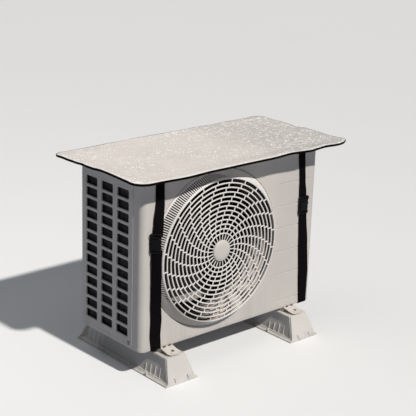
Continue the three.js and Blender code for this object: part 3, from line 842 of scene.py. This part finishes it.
def footBody(bm, middle):
    s = footSettings
    inner = s["halfLength"] - s["plate"] - 0.004
    sections = [
        (0.0, s["halfWidth"], s["halfLength"] - 0.002),
        (s["flange"], s["halfWidth"] - 0.0012, s["halfLength"] - 0.003),
        (s["flange"] + 0.0002, s["bodyHalf"] + 0.0045, inner),
        (s["flange"] + 0.004, s["bodyHalf"], inner - 0.0015),
        (s["height"] - 0.0016, s["topHalf"] + 0.0006, s["topHalfLength"] - s["plate"]),
        (s["height"], s["topHalf"] - 0.0012, s["topHalfLength"] - s["plate"]),
    ]
    rings = []
    for height, halfX, halfY in sections:
        corners = ((-1, -1), (1, -1), (1, 1), (-1, 1))
        rings.append(chain(bm, [(middle + x * halfX, y * halfY, height) for x, y in corners], True))
    for lower, upper in zip(rings, rings[1:]):
        bmesh.ops.bridge_loops(bm, edges=lower[1] + upper[1])
    top = bm.faces.new(rings[-1][0])
    bm.faces.new(list(reversed(rings[0][0])))
    bmesh.ops.inset_individual(bm, faces=[top], thickness=0.005, depth=0.0)
    bmesh.ops.inset_individual(bm, faces=[top], thickness=0.0012, depth=-0.0012)
    bmesh.ops.recalc_face_normals(bm, faces=bm.faces)
    sides = [f for f in bm.faces if abs(f.normal.x) > 0.9 and f.calc_area() > 0.02]
    bmesh.ops.inset_individual(bm, faces=sides, thickness=0.0045, depth=0.0)
    bmesh.ops.inset_individual(bm, faces=sides, thickness=0.001, depth=-s["recess"])


def addFoot(plastic, side):
    s = footSettings
    middle = s["middle"] * (-1 if side == "left" else 1)
    bm = bmesh.new()
    footBody(bm, middle)
    for end in (-1, 1):
        footPlate(bm, middle, end)
    # the end plates' inner edges would reach below the floor
    for vert in bm.verts:
        vert.co.z = max(vert.co.z, 0.0)
    lean = (s["bodyHalf"] - s["topHalf"]) / s["height"]
    for out in (-1, 1):
        for end in (-1, 1):
            for i in range(s["ribs"]):
                y = end * (s["halfLength"] - 0.034 - i * s["ribPitch"])
                bottom = Vector((middle + out * (s["bodyHalf"] - s["recess"] - 0.002), y, 0.009))
                place = frameOf(bottom, (0, 1, 0), (-out * lean, 0, 1))
                addBlock(bm, (-0.0014, 0, -0.0035), (0.0014, 0.040 - 0.003 * i, 0.0035), place)
        tab = Vector((middle + out * (s["halfWidth"] - 0.0045), s["tabs"][side], s["flange"]))
        addBlock(bm, tab + Vector((-0.0035, -0.0025, -0.001)), tab + Vector((0.0035, 0.0025, 0.011)))
        addBlock(bm, tab + Vector((-0.003, 0.0035, -0.001)), tab + Vector((0.003, 0.0075, 0.0035)))
    makePiece(bm, "foot" + side.capitalize(), plastic, ["foot_" + side], bevel=0.0008)


railSettings = {
    "halfWidth": 0.0255,
    "tip": 0.2165,
    "start": 0.166,
    "startHeight": 0.1003,
    "tipHeight": 0.0893,
    "sheet": 0.0024,
    "round": 0.017,
    "hole": 0.0058,
    "holeFromStart": 0.030,
    "bolt": 0.0042,
}


def addRail(paint, dark, side):
    s = railSettings
    middle = (-1 if side == "left" else 1) * footSettings["middle"]
    bm = bmesh.new()
    addBlock(bm, (middle - s["halfWidth"], -0.166, 0.0859), (middle + s["halfWidth"], 0.166, 0.1006))
    for end in (-1, 1):
        start = Vector((middle, end * s["start"], s["startHeight"]))
        tip = Vector((middle, end * s["tip"], s["tipHeight"]))
        length = (tip - start).length
        place = frameOf(start, (-end, 0, 0), tip - start)
        half, bend = s["halfWidth"], s["round"]
        outline = [(half, -0.006)]
        for i in range(7):
            angle = math.radians(15 * i)
            outline.append((half - bend + bend * math.cos(angle), length - bend + bend * math.sin(angle)))
        hole = circlePoints(s["hole"], 20, (0.004, s["holeFromStart"]))
        up = place.to_3x3().col[2].z
        flatPlate(bm, mirrored(outline), [hole], place @ Matrix.Translation((0, 0, -s["sheet"] / 2)), s["sheet"])
        boltPlace = place @ Matrix.Translation((-0.009, length - 0.010, math.copysign(0.001, up)))
        bmesh.ops.create_cone(
            bm, cap_ends=True, segments=6, radius1=s["bolt"], radius2=s["bolt"], depth=0.006, matrix=boltPlace
        )
        near, far = sorted((end * 0.1668, end * 0.1688))
        addBlock(bm, (middle - half, near, 0.0985), (middle + half, far, 0.1035))
    makePiece(bm, "legRail" + side.capitalize(), paint, ["leg_rail_" + side], bevel=0.0006)
    # dark blocks stand for the slots: painted shade in shadowed metal
    bm = bmesh.new()
    for end in (-1, 1):
        for shift in (-0.011, 0.012):
            low = (middle + shift - 0.006, end * 0.1694 - 0.0006, 0.1015)
            high = (middle + shift + 0.006, end * 0.1694 + 0.0006, 0.1058)
            addBlock(bm, low, high)
    makePiece(bm, "railSlots" + side.capitalize(), dark, [], bevel=0.0004)


# Cover sheet and its edge tape

coverSettings = {
    "width": 0.958,
    "depth": 0.4835,
    "middleY": -0.0062,
    "radius": 0.052,
    "bottom": 0.7113,
    "thickness": 0.003,
    "stepsX": 180,
    "stepsY": 92,
    "cornerSteps": 12,
    "crumple": 0.0007,
    "foldMiddle": 0.012,
    "foldSlant": 0.013,
}

# place along each edge, then how far it rises there
edgeRises = {
    "front": (
        (-0.480, 0.004), (-0.427, 0.0025), (-0.299, 0.001), (-0.171, 0.006), (0.085, 0.0043), (0.181, 0.009),
        (0.277, 0.006), (0.341, 0.0098), (0.432, 0.001), (0.480, 0.001),
    ),
    "back": (
        (-0.480, -0.006), (-0.349, -0.0045), (-0.221, -0.0005), (-0.093, 0.0015), (0.035, -0.0005),
        (0.227, -0.0005), (0.323, 0.0028), (0.419, 0.0035), (0.480, 0.009),
    ),
    "left": (
        (-0.250, 0.006), (-0.184, 0.0087), (-0.088, 0.0097), (0.0, 0.0113), (0.040, 0.0076), (0.104, 0.0036),
        (0.136, 0.0017), (0.189, 0.0012), (0.240, -0.006),
    ),
    "right": (
        (-0.250, 0.003), (-0.188, 0.0056), (-0.124, 0.0049), (0.004, 0.0084), (0.068, 0.006), (0.164, 0.0055),
        (0.240, 0.009),
    ),
}


def riseAt(edge, along):
    table = edgeRises[edge]
    for low, high in zip(table, table[1:]):
        if along <= high[0]:
            return low[1] + (high[1] - low[1]) * smooth(low[0], high[0], along)
    return table[-1][1]


def smooth(low, high, value):
    part = min(max((value - low) / (high - low), 0.0), 1.0)
    return part * part * (3 - 2 * part)


# how far a point lies behind the packing fold that runs along the sheet
def pastFold(x, y):
    s = coverSettings
    return y - (s["foldMiddle"] + x / (s["width"] / 2) * s["foldSlant"])


def sheetLift(x, y):
    s = coverSettings
    half, edge = casing["half"], s["width"] / 2
    pastEnd = smooth(half + 0.005, edge, abs(x))
    pastFront = smooth(-casing["front"] + 0.005, s["depth"] / 2 - s["middleY"], -y)
    pastBack = smooth(casing["back"] + 0.005, s["depth"] / 2 + s["middleY"], y)
    fold = math.exp(-((pastFold(x, y) / 0.034) ** 2))
    rightCurl = 0.0085 * smooth(half - 0.06, edge, x) * pastFront if x > 0 else 0.0
    leftRise = 0.003 * pastEnd * smooth(0.06, 0.18, y) if x < 0 else 0.0
    leftDroop = -0.0025 * pastEnd * smooth(0.06, 0.2, -y) if x < 0 else 0.0
    ripple = 0.0012 * pastFront * math.sin(x / 0.071 + 0.7) + 0.0015 * pastBack * math.sin(x / 0.093)
    shares = ((pastFront, "front", x), (pastBack, "back", x), (pastEnd, "left" if x < 0 else "right", y))
    rise = sum(share * riseAt(name, along) for share, name, along in shares)
    rise /= max(1.0, sum(share for share, name, along in shares))
    return -0.005 * fold * pastEnd - 0.0003 * fold + rightCurl + leftRise + leftDroop + ripple + rise


def crumple(x, y):
    crease = math.exp(-((pastFold(x, y) / 0.0035) ** 2))
    wide = noise.noise(Vector((x * 9, y * 13, 0.3)))
    ridge = 1 - abs(noise.noise(Vector((x * 27, y * 31, 4.7)))) * 2
    fine = noise.noise(Vector((x * 85, y * 95, 9.1)))
    return coverSettings["crumple"] * (0.9 * wide + 0.45 * ridge ** 3 + 0.35 * fine) + 0.0011 * crease


def spread(index, half, steps):
    s = coverSettings
    straight = steps - 2 * s["cornerSteps"]
    if index <= s["cornerSteps"]:
        return -half + s["radius"] * index / s["cornerSteps"]
    if index >= steps - s["cornerSteps"]:
        return half - s["radius"] * (steps - index) / s["cornerSteps"]
    return -half + s["radius"] + (index - s["cornerSteps"]) / straight * 2 * (half - s["radius"])


def cornerReach(x, y):
    s = coverSettings
    overX = max(abs(x) - (s["width"] / 2 - s["radius"]), 0.0)
    overY = max(abs(y) - (s["depth"] / 2 - s["radius"]), 0.0)
    return Vector((math.copysign(overX, x), math.copysign(overY, y)))


def coverGrid():
    s = coverSettings
    bm = bmesh.new()
    bmesh.ops.create_grid(bm, x_segments=s["stepsX"], y_segments=s["stepsY"], size=0.5)
    outward = {}
    for vert in bm.verts:
        column = round((vert.co.x + 0.5) * s["stepsX"])
        row = round((vert.co.y + 0.5) * s["stepsY"])
        x = spread(column, s["width"] / 2, s["stepsX"])
        y = spread(row, s["depth"] / 2, s["stepsY"])
        reach = cornerReach(x, y)
        if vert.is_boundary:
            outward[vert] = reach.normalized()
        if reach.x and reach.y:
            scale = max(abs(reach.x), abs(reach.y)) / reach.length
            x, y = x - reach.x + reach.x * scale, y - reach.y + reach.y * scale
        vert.co = (x, y + s["middleY"], 0)
    return bm, outward


def rimDistance(x, y):
    s = coverSettings
    overX = abs(x) - (s["width"] / 2 - s["radius"])
    overY = abs(y - s["middleY"]) - (s["depth"] / 2 - s["radius"])
    if overX > 0 and overY > 0:
        return s["radius"] - math.hypot(overX, overY)
    return s["radius"] - max(overX, overY)


def addCover(foil):
    s = coverSettings
    bm = coverGrid()[0]
    fillUv(bm, "hem", lambda vert: (rimDistance(vert.co.x, vert.co.y), 0))
    for vert in bm.verts:
        x, y = vert.co.x, vert.co.y
        rim = rimDistance(x, y)
        puff = 0.0006 * math.exp(-((rim - 0.012) / 0.006) ** 2) - 0.0012 * math.exp(-(rim / 0.0025) ** 2)
        vert.co.z = s["bottom"] + s["thickness"] + sheetLift(x, y) + crumple(x, y) + puff
    return makePiece(
        bm, "coverFoil", foil, ["cover_sheet"], smoothAngle=80, wall=s["thickness"] - 0.0004, recalc=False
    )


# how far out from the sheet's rim and up from its underside, from the tape's top to its hidden end
tapeSteps = (
    (0.0012, 0.0020), (0.0018, 0.0004), (0.0020, -0.0028), (0.0008, -0.0056), (-0.0055, -0.0036), (-0.011, -0.0010),
)


def addEdgeTape(tape):
    bm, outward = coverGrid()
    rim = {e for e in bm.edges if e.is_boundary}
    bmesh.ops.delete(bm, geom=list(bm.faces), context="FACES_ONLY")
    bmesh.ops.delete(bm, geom=[e for e in bm.edges if e not in rim], context="EDGES")
    bmesh.ops.delete(bm, geom=[v for v in bm.verts if v not in outward], context="VERTS")
    # where each vert's row started, and which way is out from there
    starts = {v: (v.co.copy(), outward[v]) for v in bm.verts}

    def put(vert, out, up):
        start, away = starts[vert]
        held = min(out, 0)
        lift = sheetLift(start.x + held * away.x, start.y + held * away.y)
        vert.co = (start.x + out * away.x, start.y + out * away.y, coverSettings["bottom"] + up + lift)

    for vert in list(bm.verts):
        put(vert, *tapeSteps[0])
    edges = list(bm.edges)
    for out, up in tapeSteps[1:]:
        fresh, edges = extrudeChain(bm, edges)
        known = set(fresh)
        for vert in fresh:
            neighbours = [edge.other_vert(vert) for edge in vert.link_edges]
            starts[vert] = next(starts[other] for other in neighbours if other in starts and other not in known)
        for vert in fresh:
            put(vert, out, up)
    fillUv(bm, "weave", lambda vert: (vert.co.z * 2, vert.co.x + vert.co.y))
    return makePiece(
        bm, "edgeTape", tape, ["cover_binding"], smoothAngle=60, wall=0.0009, wallOffset=0.0
    )


# Straps and buckles

strapSettings = {
    "thickness": 0.0016,
    "gap": 0.0004,
    "tab": 0.040,
    "bow": 0.0295,
    "bowLow": 0.050,
    "bowHigh": 0.570,
    "bend": 0.0025,
    "across": 10,
    "flatWidth": 0.040,
    "lean": 0.15,
    "sightShift": 0.894,
}

# height above the casing's base, middle, width
strapRows = {
    "left": (
        (0.000, -0.3370, 0.0434), (0.100, -0.3453, 0.0475), (0.172, -0.3563, 0.0468), (0.244, -0.3624, 0.0451),
        (0.314, -0.3651, 0.0470), (0.385, -0.3617, 0.0465), (0.453, -0.3500, 0.0432), (0.520, -0.3363, 0.0371),
        (0.608, -0.3259, 0.0342),
    ),
    "right": (
        (0.000, 0.3592, 0.0397), (0.120, 0.3554, 0.0499), (0.242, 0.3457, 0.0475), (0.337, 0.3369, 0.0402),
        (0.384, 0.3357, 0.0387), (0.430, 0.3300, 0.0375), (0.475, 0.3259, 0.0309), (0.583, 0.3160, 0.0320),
        (0.608, 0.3160, 0.0330),
    ),
}
# height is that of the joint between plug and socket; the left one leans as its webbing does
buckles = {
    "left": {"height": 0.401, "x": -0.3634, "lift": -0.001, "tilt": -40.0, "narrow": 0.81},
    "right": {"height": 0.401, "x": 0.333, "lift": 0.0, "tilt": 0.0, "narrow": 1.0},
}
buckleSettings = {"width": 0.047, "plug": 0.017, "socket": 0.050, "thickness": 0.009}
tailSettings = {"width": 0.024, "length": 0.046, "below": 0.004, "inward": 0.0305}


def rowAt(side, height):
    rows = strapRows[side]
    height = min(max(height, rows[0][0]), rows[-1][0])
    for low, high in zip(rows, rows[1:]):
        if height <= high[0]:
            part = smooth(low[0], high[0], height) * 0.4 + 0.6 * (height - low[0]) / (high[0] - low[0])
            return low[1] + part * (high[1] - low[1]), low[2] + part * (high[2] - low[2])
    return rows[-1][1], rows[-1][2]


def bowAt(side, height):
    s = strapSettings
    if side == "right" or not s["bowLow"] < height < s["bowHigh"]:
        return 0.0
    return s["bow"] * math.sin(math.pi * (height - s["bowLow"]) / (s["bowHigh"] - s["bowLow"]))


def frontRun(side, start, end, steps):
    s = strapSettings
    off = s["gap"] + s["thickness"] / 2
    run = []
    for i in range(steps + 1):
        height = start + (end - start) * i / steps
        run.append((casing["front"] - off - bowAt(side, height), casing["panLow"] + height, height))
    return run


def bendPoints(center, radius, start, end, height):
    points = []
    for i in range(5):
        angle = math.radians(start + (end - start) * i / 4)
        points.append((center[0] + radius * math.cos(angle), center[1] + radius * math.sin(angle), height))
    return points


def addStrap(side, part, path, cloth):
    s = strapSettings
    bm = bmesh.new()

    def row(point):
        y, z, height = point
        middle, width = rowAt(side, height)
        held = bowAt(side, height) if y < 0 else 0.0
        places = []
        for i in range(s["across"] + 1):
            share = i / s["across"]
            # its left edge hangs closer to the panel
            back = held * (1 - s["lean"]) * (1 - share ** 0.8)
            places.append(Vector((middle + (share - 0.5) * width + s["sightShift"] * back, y + back, z)))
        return places

    verts, edges = chain(bm, row(path[0]))
    along = 0.0
    reach = {v: 0.0 for v in verts}
    for before, point in zip(path, path[1:]):
        along += math.hypot(point[0] - before[0], point[1] - before[1])
        fresh, edges = extrudeChain(bm, edges)
        for vert, co in zip(sorted(fresh, key=lambda v: v.co.x), row(point)):
            vert.co = co
            reach[vert] = along
    fillUv(bm, "weave", lambda vert: (vert.co.x, reach[vert]))
    name, node = "strap" + side.capitalize() + part.capitalize(), f"strap_{side}_{part}"
    strap = makePiece(bm, name, cloth, [node], smoothAngle=60, wall=s["thickness"], wallOffset=0.0)


def addStraps(cloth):
    s = strapSettings
    off = s["gap"] + s["thickness"] / 2
    front, back = casing["front"] - off, casing["back"] + off
    top, under = casing["lidHigh"] + off, casing["panLow"] - off
    high = casing["lidHigh"] - casing["panLow"]
    r = s["bend"]
    for side in ("left", "right"):
        joint = buckles[side]["height"]
        upper = frontRun(side, joint + 0.003, high + off - r, 24)
        upper += bendPoints((front + r, top - r), r, 180, 90, high)[1:]
        upper += [(casing["front"] + s["tab"] * part, top, high) for part in (0.3, 0.6, 1.0)]
        addStrap(side, "upper", upper, cloth)
        lower = frontRun(side, joint - buckleSettings["socket"] + 0.012, r - off, 40)
        lower += bendPoints((front + r, under + r), r, 180, 270, 0.0)[1:]
        lower += [(front + r + (back - front - 2 * r) * i / 12, under, 0.0) for i in range(1, 12)]
        lower += bendPoints((back - r, under + r), r, -90, 0, 0.0)
        lower += [(back, casing["panLow"] + high * i / 30, high * i / 30) for i in range(1, 30)]
        lower += bendPoints((back - r, top - r), r, 0, 90, high)
        lower += [(casing["back"] - s["tab"] * part, top, high) for part in (0.3, 0.6, 1.0)]
        addStrap(side, "lower", lower, cloth)
    addTail(cloth)


def buckleFar(side):
    b = buckles[side]
    return casing["front"] - strapSettings["gap"] - bowAt(side, b["height"]) - 0.001 - b["lift"]


# turns a buckle's piece about the edge that lies on the guard's wall
def leanOver(bm, side, narrow=1.0):
    b = buckles[side]
    edge = Vector((b["x"] + buckleSettings["width"] / 2, buckleFar(side), 0))
    bmesh.ops.scale(bm, verts=bm.verts, vec=(narrow, 1, 1), space=Matrix.Translation(-edge))
    bmesh.ops.rotate(bm, verts=bm.verts, cent=edge, matrix=Matrix.Rotation(math.radians(b["tilt"]), 3, "Z"))


def addTail(cloth):
    s, t, b = strapSettings, tailSettings, buckles["left"]
    bm = bmesh.new()
    face = buckleFar("left") + s["thickness"] / 2
    middle = b["x"] + buckleSettings["width"] / 2 - t["inward"]
    start = casing["panLow"] + b["height"] - t["below"]
    verts, edges = chain(bm, [(middle + t["width"] * (i / 6 - 0.5), face, start) for i in range(7)])
    reach = {v: 0.0 for v in verts}
    for i in range(1, 13):
        fresh, edges = extrudeChain(bm, edges)
        part = i / 12
        for vert in fresh:
            vert.co.y = face + 0.003 * part * part
            vert.co.z = start - t["length"] * part
            reach[vert] = t["length"] * part
    fillUv(bm, "weave", lambda vert: (vert.co.x, reach[vert]))
    leanOver(bm, "left")
    loose = makePiece(
        bm, "strapTail", cloth, ["strap_left_tail"], smoothAngle=60, wall=s["thickness"], wallOffset=0.0
    )


def addBuckle(side, plastic):
    s, b = buckleSettings, buckles[side]
    joint = casing["panLow"] + b["height"]
    far = buckleFar(side)
    near = far - s["thickness"]
    half, x = s["width"] / 2, b["x"]
    toFront = lambda y: frameOf((x, y, joint), (1, 0, 0), (0, 0, 1))
    bm = bmesh.new()
    # plug: a frame with a slot for the webbing, and the shoulders of its prongs in the socket's mouth
    high = s["plug"]
    outline = mirrored([
        (half - 0.0085, 0.0006), (half - 0.0070, 0.0034), (half - 0.0020, 0.0050), (half, 0.0078),
        (half, high - 0.0035), (half - 0.0035, high),
    ])
    slot = mirrored([(half - 0.0065, 0.0078), (half - 0.0065, 0.0118)])
    flatPlate(bm, outline, [slot], toFront(far - 0.0012), 0.0072)
    grip = (half - 0.005, joint + high)
    addBlock(bm, (x - grip[0], near + 0.0020, grip[1] - 0.0036), (x + grip[0], near + 0.0040, grip[1] - 0.0010))
    for out in (-1, 1):
        middle = x + out * (half - 0.0045)
        prong = (middle - 0.0032, near + 0.0020, joint - 0.0010)
        addBlock(bm, prong, (middle + 0.0032, far - 0.0012, joint + 0.0045))
    leanOver(bm, side, b["narrow"])
    makePiece(bm, f"buckle{side.capitalize()}Plug", plastic, [f"buckle_{side}_plug"], bevel=0.0008)
    bm = bmesh.new()
    # socket: a flat box with a waist, a raised panel, a slot for the webbing and the two side arms
    low = -s["socket"]
    outline = mirrored([
        (half - 0.0035, low), (half - 0.0005, low + 0.003), (half - 0.0005, low + 0.0130),
        (half - 0.0045, low + 0.0165), (half - 0.0050, low + 0.0290), (half - 0.0008, low + 0.0345),
        (half, -0.0130), (half - 0.0030, -0.0006),
    ])
    slot = mirrored([(half - 0.0065, low + 0.0050), (half - 0.0065, low + 0.0092)])
    flatPlate(bm, outline, [slot], toFront(far), s["thickness"] - 0.0022)
    panel = mirrored([
        (half - 0.0110, low + 0.0150), (half - 0.0080, low + 0.0220), (half - 0.0085, -0.0070),
        (half - 0.0120, -0.0028),
    ])
    flatPlate(bm, panel, [], toFront(near + 0.0028), 0.0026)
    foot, inside = joint + low, half - 0.007
    addBlock(bm, (x - inside, near + 0.0010, foot + 0.0108), (x + inside, near + 0.003, foot + 0.0126))
    for out in (-1, 1):
        middle = x + out * (half - 0.0034)
        arm = (middle - 0.0026, near + 0.0036, foot + 0.0160)
        addBlock(bm, arm, (middle + 0.0026, far - 0.0026, foot + 0.0295))
    leanOver(bm, side, b["narrow"])
    makePiece(bm, f"buckle{side.capitalize()}Socket", plastic, [f"buckle_{side}_socket"], bevel=0.0008)


# on the casing's left side: place along it, then height
screwPlaces = ((-0.098, 0.690), (-0.098, 0.120))


def addScrews(paint, dark):
    # the dark rings round the screw heads are painted shade of their recesses
    bm, shadeRings = bmesh.new(), bmesh.new()
    left = -casing["half"]
    for y, z in screwPlaces:
        parts = ((bm, 0.0004, 16, 0.0050, 0.0038, 0.0032), (shadeRings, 0.0002, 20, 0.0068, 0.0064, 0.0010))
        for target, out, sides, foot, head, depth in parts:
            place = Matrix.Translation((left - out, y, z)) @ Matrix.Rotation(math.radians(-90), 4, "Y")
            bmesh.ops.create_cone(
                target, cap_ends=True, segments=sides, radius1=foot, radius2=head, depth=depth, matrix=place
            )
        addBlock(bm, (left - 0.0027, y - 0.0034, z - 0.0006), (left - 0.0017, y + 0.0034, z + 0.0006))
    makePiece(bm, "casingScrews", paint, [], bevel=0.0004)
    makePiece(shadeRings, "screwShadeRings", dark, [])


# Build

addCamera()
addStudio()
print("camera and studio set")

paint = paintFinish()
guardPaint = paintFinish("guardPaint", 1.03, 0.15, 0.7)
railPaint = paintFinish("railPaint", 1.02, 0.4)
darkMetal = darkFinish()
addLidAndPan(paint)
addFrontPanel(paint)
addGuard(guardPaint)
addBellMouth(bellFinish())
addSidePanels(paint)
addScrews(railPaint, darkMetal)
print("casing built")

coil = coilFinish()
for name in ("coil_side", "coil_back"):
    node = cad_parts[name]
    node.data.materials.clear()
    node.data.materials.append(coil)

plastic = footFinish()
for side in ("left", "right"):
    addFoot(plastic, side)
    addRail(railPaint, darkMetal, side)
print("feet built")

webbing = clothFinish("blackWebbing", 0.0016, rgb(0.0022, 0.0014, 0.0020), rgb(0.0080, 0.0058, 0.0072))
tape = clothFinish("edgeTapeCloth", 0.0012, rgb(0.0015, 0.0012, 0.0013), rgb(0.006, 0.005, 0.005))
sheet = addCover(foilFinish())
binding = addEdgeTape(tape)
print("cover laid")

buckleBlack = buckleFinish()
for side in ("left", "right"):
    addBuckle(side, buckleBlack)
addStraps(webbing)
print("straps and buckles on")
